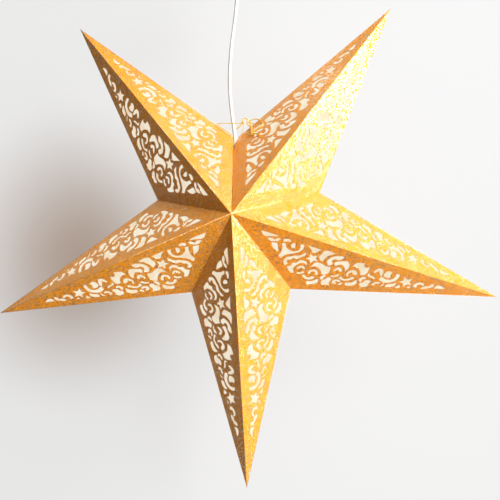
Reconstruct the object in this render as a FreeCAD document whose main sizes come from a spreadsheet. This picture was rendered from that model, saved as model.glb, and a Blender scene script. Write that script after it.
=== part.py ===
import FreeCAD, Part
import math
import os

# A five-point paper star lantern that hangs by its lamp cord.
#
# Frame: the origin is the middle of the ceiling plate's top face, +Z is up and the star's
# front faces -Y. Each point is one sheet of card, folded along a front ridge, a back ridge
# and two outline folds. The points are glued flap to flap and leave one open seam on top.

V = FreeCAD.Vector

SIZES = (
    # Star, card and lining
    ("point_count", 5),
    ("tip_radius", 315),
    ("corner_radius", 102.9),
    ("half_depth", 77),
    ("seam_angle", 3.85),
    ("card", 0.4),
    ("flap", 8),
    ("lining", 0.15),
    ("lining_inset", 2),
    # Hanging height and cord
    ("ceiling_drop", 348),
    ("ceiling_offset", 7),
    ("cord_radius", 2),
    # Ceiling plate, cup and cord grip
    ("cup_radius", 36),
    ("cup_height", 45),
    ("cup_wall", 2),
    ("cup_bend", 14),
    ("plate_thick", 3),
    ("plate_gap", 0.3),
    ("screw_hole_radius", 2.2),
    ("screw_reach", 22),
    ("grip_length", 11),
    ("grip_top_radius", 7),
    ("grip_end_radius", 4),
    # Lamp holder and lamp
    ("holder_top", 62),
    ("holder_radius", 13.5),
    ("holder_neck_radius", 5),
    ("holder_wall", 1.8),
    ("cap_height", 14),
    ("body_height", 34),
    ("body_end_radius", 12),
    ("socket_depth", 26),
    ("thread_radius", 6.7),
    ("thread_length", 27),
    ("thread_gap", 0.3),
    ("bulb_radius", 22.5),
    ("bulb_neck_radius", 9),
    ("bulb_neck", 8),
    ("bulb_wall", 0.8),
    # Tie string and bow
    ("string_radius", 0.6),
    ("tie_reach", 26),
    ("tie_hole_radius", 1.6),
    ("tie_tail", 4),
    ("knot_radius", 1.9),
    ("knot_offset", 10),
    ("small_loop_radius", 3.4),
    ("large_loop_radius", 5),
    ("tail_length", 9),
)

# The flat face that the cut-outs are drawn on: ridge to the right, corner above.
DRAWN_RIDGE = 324.3
DRAWN_CORNER = 81.3

# Cut-outs, drawn in millimetres along the ridge from the apex and up from the ridge.
SCROLLS = {
    "heart leaf": ((38.5, 10.5), (46, 16), (59.5, 11)),
    "heart hook": ((48.5, 17.5), (54, 21), (63, 14), (56.5, 16)),
    "stem and arch": (
        (73, 40), (69, 31), (66.5, 18.5), (73, 23), (83, 24), (87.5, 13), (91.5, 13), (87, 27),
    ),
    "long scroll": (
        (79.5, 47), (83, 45), (81.5, 40), (92, 32.5), (97, 25), (90, 29), (80, 35), (76.8, 41),
    ),
    "flame": ((91.5, 57.3), (94.5, 55.5), (92, 48), (98, 38.5), (102, 35), (92.5, 37), (83, 49.5)),
    "corner arc": ((104.3, 56.5), (112, 60.5), (119.5, 54), (111.5, 55.5)),
    "corner cap": ((113.5, 66), (122.5, 63.5), (124.5, 55.5), (117.5, 61)),
    "petal": ((109, 40.5), (120, 39), (126.5, 45.5), (132, 40), (130.5, 31.5), (110.5, 33)),
    "foot": ((95, 10.5), (106, 18.8), (111.5, 11)),
    "stem": ((113, 22.5), (119, 27), (122.5, 16), (129, 10.5), (116, 10.5)),
    "snake": ((126, 28.5), (131, 25.5), (130, 19), (140, 11.3), (127.5, 15.5), (123.5, 23)),
    "inner leaf": ((134.5, 28), (148.5, 29), (146, 16), (134, 21.5)),
    "outer leaf": ((130, 60.3), (139.5, 58), (137, 47.5), (129, 54)),
    "second arc": ((145, 43.5), (154, 44.5), (163, 36.5), (153, 41.5)),
    "second petal": (
        (153, 21), (166.5, 29.5), (172.5, 25), (171.5, 13.5), (164.5, 11), (154.5, 15),
    ),
    "second leaf": ((173, 45.5), (181, 42.5), (181, 33.5), (170.5, 40.5)),
    "fork": ((179, 19), (184.5, 15.5), (189.5, 23), (188, 13), (182, 11.5)),
    "tip arch": ((189, 26), (196, 29.5), (207, 23), (207.5, 11.5), (203.5, 11.5), (201, 22)),
    "tail": ((229.5, 19), (246.5, 19.5), (251, 11), (235, 12.5)),
}

# Five-point stars among them: middle, radius to the points, and turn in degrees.
STARS = {
    "large star": (106.5, 27, 7.6, 4),
    "small star": (219.5, 19, 8.4, 2),
}
STAR_WAIST = 0.5

# The cord's route from the ceiling to the lamp holder, across and up from the star's centre.
CORD_ROUTE = (
    (7.0, 306.0),
    (7.0, 280.0),
    (3.4, 252.0),
    (-3.2, 212.0),
    (-6.6, 172.0),
    (-5.0, 136.0),
    (-0.6, 97.0),
    (0.0, 66.0),
)
ARC_SHARE = 0.45

os.makedirs("parts", exist_ok=True)
doc = FreeCAD.newDocument("star_lantern")
sheet = doc.addObject("Spreadsheet::Sheet", "sizes")
for row, (name, value) in enumerate(SIZES, start=1):
    sheet.set(f"A{row}", name)
    sheet.set(f"B{row}", str(value))
    sheet.setAlias(f"B{row}", name)
doc.recompute()


def size(name):
    """One driving size as a plain number."""
    return float(getattr(sheet, name))


def pitch():
    """Angle that one point takes up round the star, in degrees."""
    return (360 - size("seam_angle")) / size("point_count")


def round_star(radius, angle, depth=0):
    """A place round the star, measured clockwise from straight up."""
    turn = math.radians(angle)
    return V(radius * math.sin(turn), depth, radius * math.cos(turn))


def add(kind, label, **bindings):
    """A document object whose properties are bound to the sheet."""
    item = doc.addObject(kind, label)
    item.Label = label
    for prop, expression in bindings.items():
        item.setExpression(prop.replace("__", "."), expression)
    return item


def shaped(label, shape):
    """An object that holds a shape made from the sheet's sizes."""
    item = doc.addObject("Part::Feature", label)
    item.Label = label
    item.Shape = shape
    return item


def boolean(kind, label, base, tool):
    """A cut or a fuse of two objects."""
    item = add(kind, label)
    item.Base = base
    item.Tool = tool
    return item


# Folded card
def fold_planes():
    """The six outside planes of one upright point: four faces and two seams."""
    half = pitch() / 2
    tip = V(0, 0, size("tip_radius"))
    planes = {}
    for side, turn in (("left", -half), ("right", half)):
        corner = round_star(size("corner_radius"), turn)
        for face, depth in (("front", -size("half_depth")), ("back", size("half_depth"))):
            apex = V(0, depth, 0)
            normal = (tip - apex).cross(corner - apex).normalize()
            if normal.y * depth < 0:
                normal = -normal
            planes[face, side] = (normal, normal.dot(tip))
        outward = round_star(1, turn).cross(V(0, 1, 0)).normalize()
        if outward.x * turn < 0:
            outward = -outward
        planes["seam", side] = (outward, 0)
    return planes


def meeting_point(planes, names, inset):
    """Where three of the planes meet once each has moved inward by the inset."""
    (a, ra), (b, rb), (c, rc) = (planes[name] for name in names)
    ra, rb, rc = ra - inset, rb - inset, rc - inset
    return (b.cross(c) * ra + c.cross(a) * rb + a.cross(b) * rc) / a.dot(b.cross(c))


def closed_solid(faces):
    """A solid from flat faces, each given by its corners."""
    sides = [Part.Face(Part.makePolygon(list(face) + [face[0]])) for face in faces]
    solid = Part.makeSolid(Part.makeShell(sides))
    if solid.Volume < 0:
        solid.reverse()
    return solid


def point_body(inset):
    """The closed outline of one upright point, moved inward by the inset."""
    planes = fold_planes()
    front = meeting_point(planes, (("front", "left"), ("front", "right"), ("seam", "left")), inset)
    back = meeting_point(planes, (("back", "left"), ("back", "right"), ("seam", "left")), inset)
    tip = meeting_point(planes, (("front", "left"), ("front", "right"), ("back", "left")), inset)
    corners = {}
    for side in ("left", "right"):
        names = (("front", side), ("back", side), ("seam", side))
        corners[side] = meeting_point(planes, names, inset)
    faces = []
    for side in ("left", "right"):
        faces.append((front, tip, corners[side]))
        faces.append((back, tip, corners[side]))
        faces.append((front, back, corners[side]))
    return closed_solid(faces)


def seam_window(side):
    """The opening that leaves only the glue flaps of one seam wall."""
    turn = pitch() / 2 * (1 if side == "right" else -1)
    depth, reach, flap = size("half_depth"), size("corner_radius"), size("flap")
    slope = math.hypot(depth, reach)
    trim_depth = depth - flap * slope / reach
    trim_reach = reach - flap * slope / depth
    outline = [V(0, -trim_depth, 0), V(0, trim_depth, 0), round_star(trim_reach, turn)]
    across = round_star(1, turn).cross(V(0, 1, 0)).normalize() * size("card") * 2
    start = [place - across for place in outline]
    face = Part.Face(Part.makePolygon(start + [start[0]]))
    return face.extrude(across * 2)


def face_frame():
    """Placement of the upright point's front right face: ridge along X, depth along Z."""
    planes = fold_planes()
    apex = V(0, -size("half_depth"), 0)
    tip = V(0, 0, size("tip_radius"))
    along = (tip - apex).normalize()
    inward = -planes["front", "right"][0]
    up = inward.cross(along)
    turn = FreeCAD.Rotation(along, up, inward, "ZXY")
    return FreeCAD.Placement(apex, turn)


def face_corners():
    """The front right face's apex, tip and corner in its own flat frame."""
    flat = face_frame().inverse()
    corner = round_star(size("corner_radius"), pitch() / 2)
    places = (V(0, -size("half_depth"), 0), V(0, 0, size("tip_radius")), corner)
    return [flat.multVec(place) for place in places]


def inset_triangle(corners, inset):
    """A triangle with each side moved inward."""
    sides = [(corners[i], corners[(i + 1) % 3]) for i in range(3)]
    lines = []
    for start, end in sides:
        along = (end - start).normalize()
        lines.append((start + V(-along.y, along.x, 0) * inset, along))
    moved = []
    for i in range(3):
        (a, u), (b, v) = lines[i - 1], lines[i]
        share = ((b - a).x * v.y - (b - a).y * v.x) / (u.x * v.y - u.y * v.x)
        moved.append(a + u * share)
    return moved


def star_outline(across, up, radius, turn):
    """A five-point star's ten corners."""
    corners = []
    for i in range(10):
        reach = radius * (STAR_WAIST if i % 2 else 1)
        angle = math.radians(turn + 36 * i)
        corners.append((across + reach * math.sin(angle), up + reach * math.cos(angle)))
    return corners


def cut_out_faces():
    """All the cut-outs of one face, as flat faces a card's depth outside the sheet."""
    ridge = face_corners()[1].x / DRAWN_RIDGE
    height = face_corners()[2].y / DRAWN_CORNER
    outlines = list(SCROLLS.values())
    outlines += [star_outline(*star) for star in STARS.values()]
    faces = []
    for outline in outlines:
        corners = [V(x * ridge, y * height, -size("card")) for x, y in outline]
        faces.append(Part.Face(Part.makePolygon(corners + [corners[0]])))
    drawing = Part.makeCompound(faces)
    drawing.Placement = face_frame()
    return drawing


def extrude(label, base, length):
    """Thickness given to flat faces, square to the upright point's front right face."""
    item = add("Part::Extrusion", label, LengthFwd=length)
    item.Base = base
    item.DirMode = "Custom"
    item.Dir = -fold_planes()["front", "right"][0]
    item.Solid = True
    return item


def mirror(label, source, normal):
    """The source mirrored in a plane through the star's centre."""
    item = add("Part::Mirroring", label)
    item.Source = source
    item.Normal = normal
    return item


folded_outside = shaped("folded_outside", point_body(0))
folded_inside = shaped("folded_inside", point_body(size("card")))
folded_sheet = boolean("Part::Cut", "folded_sheet", folded_outside, folded_inside)
seam_windows = shaped(
    "seam_windows", Part.makeCompound([seam_window("left"), seam_window("right")])
)
flapped_sheet = boolean("Part::Cut", "flapped_sheet", folded_sheet, seam_windows)
drawing = shaped("cut_out_drawing", cut_out_faces())
cut_right = extrude("cut_outs_right", drawing, "sizes.card * 3")
cut_left = mirror("cut_outs_left", cut_right, V(1, 0, 0))
cut_front = add("Part::Compound", "cut_outs_front")
cut_front.Links = [cut_right, cut_left]
cut_back = mirror("cut_outs_back", cut_front, V(0, 1, 0))
front_cut = boolean("Part::Cut", "front_pierced", flapped_sheet, cut_front)
pierced = boolean("Part::Cut", "pierced_sheet", front_cut, cut_back)
doc.recompute()

nodes = {}


def placed(label, shape, turn=0):
    """A finished node: its shape turned about the star's centre and hung in its place."""
    item = shaped(label, shape)
    item.Placement = FreeCAD.Placement(V(0, 0, 0), FreeCAD.Rotation(V(0, 1, 0), turn))
    item.setExpression("Placement.Base.x", "-sizes.ceiling_offset")
    item.setExpression("Placement.Base.z", "-sizes.ceiling_drop")
    nodes[label] = item
    return item


def point_turn(number):
    """How far a point is turned from upright, clockwise seen from the front."""
    return size("seam_angle") / 2 + pitch() * (number - 0.5)


def tie_place(side):
    """Where the string passes through the open seam's outline fold."""
    turn = size("seam_angle") / 2 * (1 if side == "right" else -1)
    corner = round_star(size("corner_radius"), turn)
    far = turn + pitch() / 2 * (1 if side == "right" else -1)
    tip = round_star(size("tip_radius"), far)
    return corner + (tip - corner).normalize() * size("tie_reach")


def tie_hole(side):
    """The hole in the outline fold that the string passes through, with eight sides."""
    depth = size("half_depth") / 4
    start = tie_place(side) - V(0, depth, 0)
    corners = []
    for turn in range(0, 360, 45):
        angle = math.radians(turn)
        corners.append(start + V(math.cos(angle), 0, math.sin(angle)) * size("tie_hole_radius"))
    outline = Part.Face(Part.makePolygon(corners + corners[:1]))
    return outline.extrude(V(0, depth * 2, 0))


last = int(size("point_count"))
for number in range(1, last + 1):
    sheet_shape = pierced.Shape.copy()
    turn = point_turn(number)
    if number in (1, last):
        hole = tie_hole("right" if number == 1 else "left")
        hole.rotate(V(0, 0, 0), V(0, 1, 0), -turn)
        sheet_shape = sheet_shape.cut(hole)
    placed(f"paper_point_{number}", sheet_shape, turn)

# Lining panels
panel_corners = inset_triangle(face_corners(), size("lining_inset"))
panel_flat = Part.Face(Part.makePolygon(panel_corners + [panel_corners[0]]))
panel_flat.Placement = face_frame()
panel_flat.translate(-fold_planes()["front", "right"][0] * size("card"))
panel_outline = shaped("panel_outline", panel_flat)
panel_right = extrude("panel_right", panel_outline, "sizes.lining")
panel_left = mirror("panel_left", panel_right, V(1, 0, 0))
panel_back_right = mirror("panel_back_right", panel_right, V(0, 1, 0))
panel_back_left = mirror("panel_back_left", panel_left, V(0, 1, 0))
doc.recompute()
PANELS = {
    "front_right": panel_right,
    "front_left": panel_left,
    "back_right": panel_back_right,
    "back_left": panel_back_left,
}
for number in range(1, last + 1):
    for name, panel in PANELS.items():
        placed(f"lining_{name}_{number}", panel.Shape.copy(), point_turn(number))


# Cord, holder, lamp and ceiling cup
def soft_path(points):
    """Straight runs joined by arcs that touch them, with the arcs' radii."""
    edges, radii, start = [], [], points[0]
    for before, here, after in zip(points, points[1:], points[2:]):
        into, out = (here - before), (after - here)
        reach = min(into.Length, out.Length) * ARC_SHARE
        half = into.getAngle(out) / 2
        radii.append(reach / math.tan(half))
        first = here - into.normalize() * reach
        last_place = here + out.normalize() * reach
        bulge = (last_place - first) / 2 + first
        aside = (here - bulge).normalize() * (radii[-1] * (1 - math.cos(half)))
        edges.append(Part.LineSegment(start, first).toShape())
        edges.append(Part.Arc(first, bulge + aside, last_place).toShape())
        start = last_place
    edges.append(Part.LineSegment(start, points[-1]).toShape())
    return Part.Wire(edges), radii


def tube(label, points, radius_name):
    """A round cord or string swept along its route."""
    path, radii = soft_path(points)
    spine = shaped(label + "_path", path)
    ring = add("Part::Circle", label + "_ring", Radius="sizes." + radius_name)
    heading = (points[1] - points[0]).normalize()
    ring.Placement = FreeCAD.Placement(points[0], FreeCAD.Rotation(V(0, 0, 1), heading))
    sweep = doc.addObject("Part::Sweep", label + "_sweep")
    sweep.Sections = [ring]
    sweep.Spine = spine
    sweep.Solid = True
    sweep.Frenet = False
    doc.recompute()
    expected = math.pi * size(radius_name) ** 2 * path.Length
    print(label, "radii", [round(radius, 1) for radius in radii],
          "length", round(path.Length, 1), "volume share", round(sweep.Shape.Volume / expected, 4))
    return sweep


def revolved(label, outline, x=0):
    """A turned solid: an outline of radius and height pairs about an upright axis."""
    corners = [V(x + radius, 0, height) for radius, height in outline]
    profile = shaped(label + "_profile", Part.makePolygon(corners + [corners[0]]))
    item = add("Part::Revolution", label + "_turned")
    item.Source = profile
    item.Axis = V(0, 0, 1)
    item.Base = V(x, 0, 0)
    item.Angle = 360
    item.Solid = True
    doc.recompute()
    return item


cord_points = [V(x, 0, height) for x, height in CORD_ROUTE]
placed("lamp_cord", tube("cord", cord_points, "cord_radius").Shape.copy())

top = size("holder_top")
seat = top - size("cap_height")
mouth = seat - size("body_height")
bore = size("cord_radius")
wall = size("holder_wall")
holder_cap = revolved("cap", (
    (bore, top + wall * 2),
    (size("holder_neck_radius"), top + wall * 2),
    (size("holder_neck_radius"), top),
    (size("holder_radius") - wall, seat + wall * 3),
    (size("holder_radius"), seat + wall),
    (size("holder_radius"), seat),
    (size("holder_radius") - wall, seat),
    (size("holder_radius") - wall * 2, seat + wall * 2),
    (size("holder_neck_radius") - wall / 2, top - wall),
    (bore, top - wall),
))
placed("holder_cap", holder_cap.Shape.copy())

socket = size("thread_radius") + size("thread_gap")
bed = mouth + size("socket_depth")
holder_body = revolved("body", (
    (0, seat),
    (size("holder_radius"), seat),
    (size("holder_radius"), seat - wall * 2),
    (size("body_end_radius"), mouth),
    (socket, mouth),
    (socket, bed),
    (0, bed),
))
placed("holder_body", holder_body.Shape.copy())

collar = bed - size("thread_length")
bulb_cap = revolved("thread", (
    (0, bed),
    (size("thread_radius") / 2, bed),
    (size("thread_radius"), bed - wall),
    (size("thread_radius"), collar),
    (0, collar),
))
placed("bulb_cap", bulb_cap.Shape.copy())


def bulb_shape():
    """The lamp's glass: a ball that runs into a neck, hollow inside."""
    ball, neck = size("bulb_radius"), size("thread_radius")
    centre = collar - size("bulb_neck") - math.sqrt(ball ** 2 - size("bulb_neck_radius") ** 2)
    shapes = []
    for inset in (0, size("bulb_wall")):
        ball_part = Part.makeSphere(ball - inset, V(0, 0, centre))
        neck_part = Part.makeCone(
            size("bulb_neck_radius") - inset, neck - inset, size("bulb_neck"),
            V(0, 0, collar - size("bulb_neck"))
        )
        bridge = Part.makeCylinder(
            size("bulb_neck_radius") - inset, size("bulb_neck"),
            V(0, 0, collar - size("bulb_neck") * 2)
        )
        shapes.append(ball_part.fuse(bridge).fuse(neck_part).removeSplitter())
    return shapes[0].cut(shapes[1])


placed("bulb_glass", bulb_shape())

axis = size("ceiling_offset")
ceiling = size("ceiling_drop")
cup_bottom = ceiling - size("cup_height")
cup_inner = size("cup_radius") - size("cup_wall")
ceiling_cup = revolved("cup", (
    (size("cord_radius") + size("cup_wall"), cup_bottom),
    (size("cup_radius") - size("cup_bend"), cup_bottom),
    (size("cup_radius") - size("cup_bend") / 4, cup_bottom + size("cup_bend") / 2),
    (size("cup_radius"), cup_bottom + size("cup_bend") * 1.5),
    (size("cup_radius"), ceiling),
    (cup_inner, ceiling),
    (cup_inner, cup_bottom + size("cup_bend") * 1.5),
    (cup_inner - size("cup_bend") / 4, cup_bottom + size("cup_bend") / 2 + size("cup_wall")),
    (size("cup_radius") - size("cup_bend"), cup_bottom + size("cup_wall")),
    (size("cord_radius") + size("cup_wall"), cup_bottom + size("cup_wall")),
), axis)
placed("ceiling_cup", ceiling_cup.Shape.copy())

grip_bottom = cup_bottom - size("grip_length")
cord_grip = revolved("grip", (
    (size("cord_radius"), grip_bottom),
    (size("grip_end_radius"), grip_bottom),
    (size("grip_top_radius"), cup_bottom),
    (size("cord_radius") + size("cup_wall"), cup_bottom),
    (size("cord_radius") + size("cup_wall"), cup_bottom + size("cup_wall") * 2),
    (size("cord_radius"), cup_bottom + size("cup_wall") * 2),
), axis)
placed("cord_grip", cord_grip.Shape.copy())

plate_disc = add("Part::Cylinder", "plate_disc", Height="sizes.plate_thick",
                 Radius="sizes.cup_radius - sizes.cup_wall - sizes.plate_gap")
plate_disc.Placement.Base = V(axis, 0, ceiling - size("plate_thick"))
screw_holes = []
for name, side in (("left_screw_hole", -1), ("right_screw_hole", 1)):
    hole = add("Part::Cylinder", name, Height="sizes.plate_thick",
               Radius="sizes.screw_hole_radius")
    hole.Placement.Base = V(axis + side * size("screw_reach"), 0, ceiling - size("plate_thick"))
    screw_holes.append(hole)
both_holes = add("Part::Compound", "screw_holes")
both_holes.Links = screw_holes
plate_cut = boolean("Part::Cut", "plate_cut", plate_disc, both_holes)
doc.recompute()
placed("ceiling_plate", plate_cut.Shape.copy())


# Tie string and bow
def fold_inward(side):
    """Straight into a point from the open seam's outline fold."""
    turn = size("seam_angle") / 2 * (1 if side == "right" else -1)
    along = (tie_place(side) - round_star(size("corner_radius"), turn)).normalize()
    return V(-along.z, 0, along.x) if side == "left" else V(along.z, 0, -along.x)


def knot_place():
    """The bow's knot, on the string between the cord and the right hole."""
    lift = size("cord_radius") + size("string_radius") * 2
    return V(size("knot_offset"), -lift, tie_place("right").z)


def cord_side(height):
    """How far the cord lies to the side at a height on its route."""
    for (x, low), (end_x, end_low) in zip(CORD_ROUTE, CORD_ROUTE[1:]):
        if end_low <= height <= low:
            return x + (end_x - x) * (low - height) / (low - end_low)
    return 0


left_hole, right_hole = tie_place("left"), tie_place("right")
knot = knot_place()
string_points = [
    left_hole + fold_inward("left") * size("tie_tail"),
    left_hole,
    V(cord_side(knot.z), knot.y, knot.z),
    knot,
    right_hole,
    right_hole + fold_inward("right") * size("tie_tail"),
]
placed("tie_string", tube("string", string_points, "string_radius").Shape.copy())


def string_ring(middle, radius):
    """A ring of string about an axis along Y, with a six-sided section."""
    corners = []
    for turn in range(0, 360, 60):
        angle = math.radians(turn)
        corners.append(middle + V(radius, 0, 0)
                       + V(math.cos(angle), math.sin(angle), 0) * size("string_radius"))
    section = Part.Face(Part.makePolygon(corners + corners[:1]))
    return section.revolve(middle, V(0, 1, 0), 360)


def bow_shape():
    """A knot on the string, a small and a large loop above it and two loose ends."""
    front = knot - V(0, size("knot_radius") + size("string_radius"), 0)
    body = Part.makeSphere(size("knot_radius"), front)
    for name, lean in (("small_loop_radius", 35), ("large_loop_radius", 75)):
        body = body.fuse(string_ring(front + round_star(size(name), lean), size(name)))
    for lean in (225, 150):
        tail = Part.makeCylinder(
            size("string_radius"), size("tail_length"), front, round_star(1, lean)
        )
        body = body.fuse(tail)
    return body.removeSplitter()


placed("tie_bow", bow_shape())

doc.recompute()
for item in doc.Objects:
    broken = [state for state in item.State if state in ("Invalid", "Error")]
    if broken:
        raise RuntimeError(f"{item.Label}: {broken}")
for label, item in nodes.items():
    shape = item.Shape
    if shape.isNull() or not shape.isValid() or not shape.Solids:
        raise RuntimeError(f"{label} has no valid solid")
    shape.exportStep(f"parts/{label}.step")
    print(label, len(shape.Solids), "solid", round(shape.Volume, 1), "mm3")
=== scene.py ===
"""Paper star lantern: the finish of the folded, pierced star, its ties and its lamp cord."""
import logging
import math
from dataclasses import dataclass
from enum import Enum

import bmesh
import bpy
from mathutils import Matrix, Vector


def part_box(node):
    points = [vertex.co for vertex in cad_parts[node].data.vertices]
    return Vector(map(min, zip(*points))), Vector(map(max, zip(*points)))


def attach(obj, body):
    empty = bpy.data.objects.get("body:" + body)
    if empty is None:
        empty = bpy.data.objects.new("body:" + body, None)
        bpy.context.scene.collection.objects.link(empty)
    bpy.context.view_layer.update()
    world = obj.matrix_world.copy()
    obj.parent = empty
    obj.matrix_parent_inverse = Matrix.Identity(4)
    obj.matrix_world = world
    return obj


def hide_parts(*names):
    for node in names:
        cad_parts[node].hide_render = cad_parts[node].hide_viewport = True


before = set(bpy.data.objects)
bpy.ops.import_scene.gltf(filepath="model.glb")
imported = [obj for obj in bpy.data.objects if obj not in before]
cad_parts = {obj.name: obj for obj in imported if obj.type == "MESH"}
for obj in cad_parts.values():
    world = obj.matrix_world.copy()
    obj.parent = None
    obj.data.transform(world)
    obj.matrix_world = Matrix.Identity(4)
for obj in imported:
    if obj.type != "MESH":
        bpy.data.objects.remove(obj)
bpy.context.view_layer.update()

LOG = logging.getLogger("star_lantern")
MM = 0.001
POINTS = 5

Outline = tuple[tuple[float, float], ...]
Place = tuple[float, float, float]
Colour = tuple[float, float, float, float]


class Side(Enum):
    """The four faces of a point, by the signs that mirror the front right one."""

    FRONT_RIGHT = (1, 1)
    FRONT_LEFT = (-1, 1)
    BACK_RIGHT = (1, -1)
    BACK_LEFT = (-1, -1)


class Corner(Enum):
    """How an outline's point is turned: by its angle, or kept sharp."""

    BY_ANGLE = "by_angle"
    SHARP = "sharp"


# Mesh helpers


def deselect() -> None:
    """Leave nothing selected."""
    bpy.ops.object.select_all(action="DESELECT")


def activate(piece: bpy.types.Object) -> None:
    """Make one object the only one selected, and active."""
    deselect()
    piece.select_set(True)
    bpy.context.view_layer.objects.active = piece


def to_mesh(piece: bpy.types.Object) -> bpy.types.Object:
    """Turn a curve into a mesh.

    Args:
        piece: the curve object.

    Returns:
        The same object, now a mesh.
    """
    activate(piece)
    bpy.ops.object.convert(target="MESH")
    return bpy.context.view_layer.objects.active


def join(pieces: list[bpy.types.Object], name: str) -> bpy.types.Object:
    """Join several meshes into one piece.

    Args:
        pieces: the mesh objects; the first one is kept.
        name: the name of the joined piece.

    Returns:
        The joined object.
    """
    activate(pieces[0])
    for piece in pieces:
        piece.select_set(True)
    bpy.ops.object.join()
    joined = bpy.context.view_layer.objects.active
    joined.name = name
    joined.data.name = name
    return joined


def outward(piece: bpy.types.Object) -> None:
    """Turn a closed mesh's faces outwards once its doubled points are merged."""
    activate(piece)
    bpy.ops.object.mode_set(mode="EDIT")
    bpy.ops.mesh.select_all(action="SELECT")
    bpy.ops.mesh.remove_doubles(threshold=0.00001)
    bpy.ops.mesh.normals_make_consistent(inside=False)
    bpy.ops.object.mode_set(mode="OBJECT")


def curve_object(name: str, flat: bool) -> bpy.types.Object:
    """An empty curve object.

    Args:
        name: its name.
        flat: whether it is a filled flat outline or a line in space.

    Returns:
        The curve object, at the origin, with no splines.
    """
    deselect()
    bpy.ops.curve.primitive_bezier_curve_add(location=(0, 0, 0))
    piece = bpy.context.view_layer.objects.active
    piece.name = name
    piece.data.splines.clear()
    piece.data.dimensions = "2D" if flat else "3D"
    if flat:
        piece.data.fill_mode = "BOTH"
    return piece


# The star


@dataclass(frozen=True)
class StarLayout:
    """Where the star's folds lie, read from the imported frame.

    Attributes:
        centre: middle of the star.
        tip_radius: from the middle to a point's tip.
        corner_radius: from the middle to a corner between points.
        half_depth: from the middle plane to the front apex.
        pitch: angle that one point takes up, in radians.
        seam: angle of the open seam on top, in radians.
    """

    centre: Vector
    tip_radius: float
    corner_radius: float
    half_depth: float
    pitch: float
    seam: float

    @classmethod
    def from_frame(cls, seam_degrees: float = 3.85) -> "StarLayout":
        """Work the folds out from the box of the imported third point.

        Args:
            seam_degrees: the open seam's angle.

        Returns:
            The layout in metres, in the frame's own axes.
        """
        low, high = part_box("paper_point_3")
        seam = math.radians(seam_degrees)
        pitch = (math.tau - seam) / POINTS
        corner = (high[0] - low[0]) / 2 / math.sin(pitch / 2)
        centre = Vector(((low[0] + high[0]) / 2, (low[1] + high[1]) / 2, high[2]))
        return cls(centre, high[2] - low[2], corner, (high[1] - low[1]) / 2, pitch, seam)

    def around(self, radius: float, angle: float, depth: float = 0.0) -> Vector:
        """A place about the star's middle, clockwise from straight up."""
        return Vector((radius * math.sin(angle), depth, radius * math.cos(angle)))

    def point_angle(self, number: int) -> float:
        """How far a point leans from upright, in radians."""
        return self.seam / 2 + self.pitch * (number - 0.5)

    def face_axes(self) -> Matrix:
        """The upright point's front right face: ridge along X, inward along Z."""
        apex = Vector((0, -self.half_depth, 0))
        tip = Vector((0, 0, self.tip_radius))
        corner = self.around(self.corner_radius, self.pitch / 2)
        along = (tip - apex).normalized()
        inward = along.cross(corner - apex).normalized()
        up = inward.cross(along)
        axes = Matrix((along, up, inward)).transposed().to_4x4()
        return Matrix.Translation(apex) @ axes

    def flat_face(self) -> tuple[Vector, Vector]:
        """The tip and the corner of a face, measured flat from the apex."""
        flat = self.face_axes().inverted()
        tip = flat @ Vector((0, 0, self.tip_radius))
        corner = flat @ self.around(self.corner_radius, self.pitch / 2)
        return tip, corner

    def side_matrix(self, side: Side) -> Matrix:
        """Mirror the front right face onto another face of the upright point."""
        across, depth = side.value
        return Matrix.Diagonal((across, depth, 1, 1))

    def point_matrix(self, number: int) -> Matrix:
        """Carry an upright point to its place in the star."""
        turn = Matrix.Rotation(self.point_angle(number), 4, "Y")
        return Matrix.Translation(self.centre) @ turn


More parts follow.
